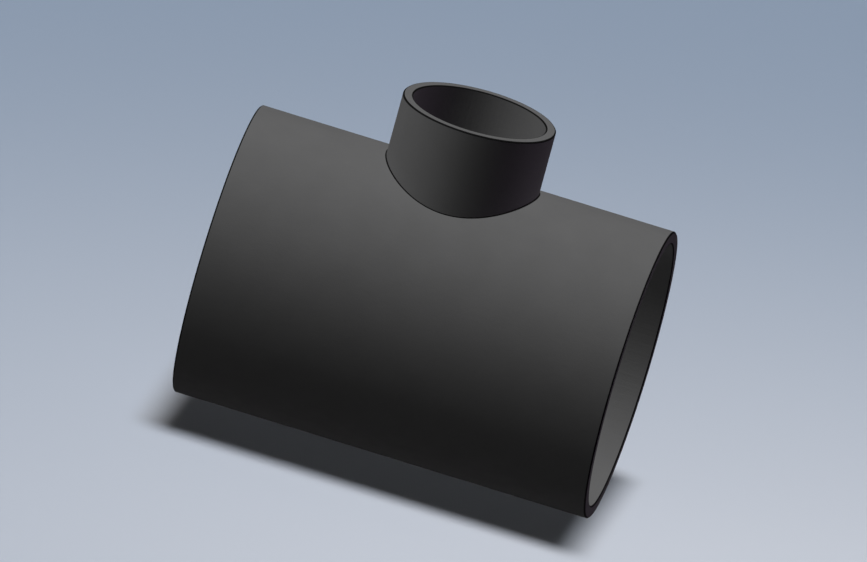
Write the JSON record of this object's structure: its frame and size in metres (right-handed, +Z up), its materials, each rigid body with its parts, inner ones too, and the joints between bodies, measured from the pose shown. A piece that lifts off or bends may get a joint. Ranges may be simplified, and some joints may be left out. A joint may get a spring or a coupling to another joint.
{
  "type": "reducing tee",
  "caption": "One-piece steel reducing tee: a straight run pipe with a smaller central branch, square plain ends and a sharp saddle joint.",
  "frame": {"origin": "where the axis of the run crosses the axis of the branch", "axes": "+X along the run, +Z up the branch towards its open end, +Y to complete a right-handed frame"},
  "size_m": [0.1656, 0.1142, 0.1396],
  "materials": {
    "tee_body": "dark grey satin coating on steel"
  },
  "bodies": {
    "root": {"tee_body": "tee_body"}
  },
  "joints": []
}
